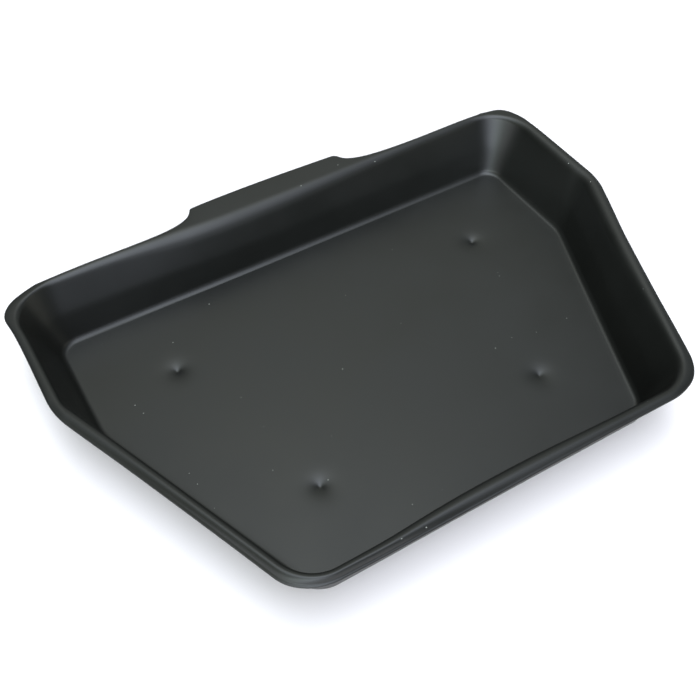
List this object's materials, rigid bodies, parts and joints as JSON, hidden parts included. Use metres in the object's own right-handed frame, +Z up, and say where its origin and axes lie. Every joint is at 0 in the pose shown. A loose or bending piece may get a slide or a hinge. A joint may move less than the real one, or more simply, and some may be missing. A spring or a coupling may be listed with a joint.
{
  "type": "paint roller tray",
  "caption": "Shallow six-sided black plastic paint tray with a flat floor, rim flange, hanging lip on the back edge and soft feet.",
  "frame": {"origin": "on the ground under the middle of the whole outline, lip included", "axes": "+Z up, +X along the long back edge, +Y towards the back edge and its hanging lip"},
  "size_m": [0.3798, 0.28, 0.045],
  "materials": {
    "tray_plastic": "satin black moulded plastic, thin sheet, slightly glossy where it is stretched round the corners",
    "foot_rubber": "soft black rubber, matte"
  },
  "bodies": {
    "root": {"tray_shell": "tray_plastic", "foot_back_left": "foot_rubber", "foot_back_right": "foot_rubber", "foot_front_left": "foot_rubber", "foot_front_right": "foot_rubber"}
  },
  "joints": []
}
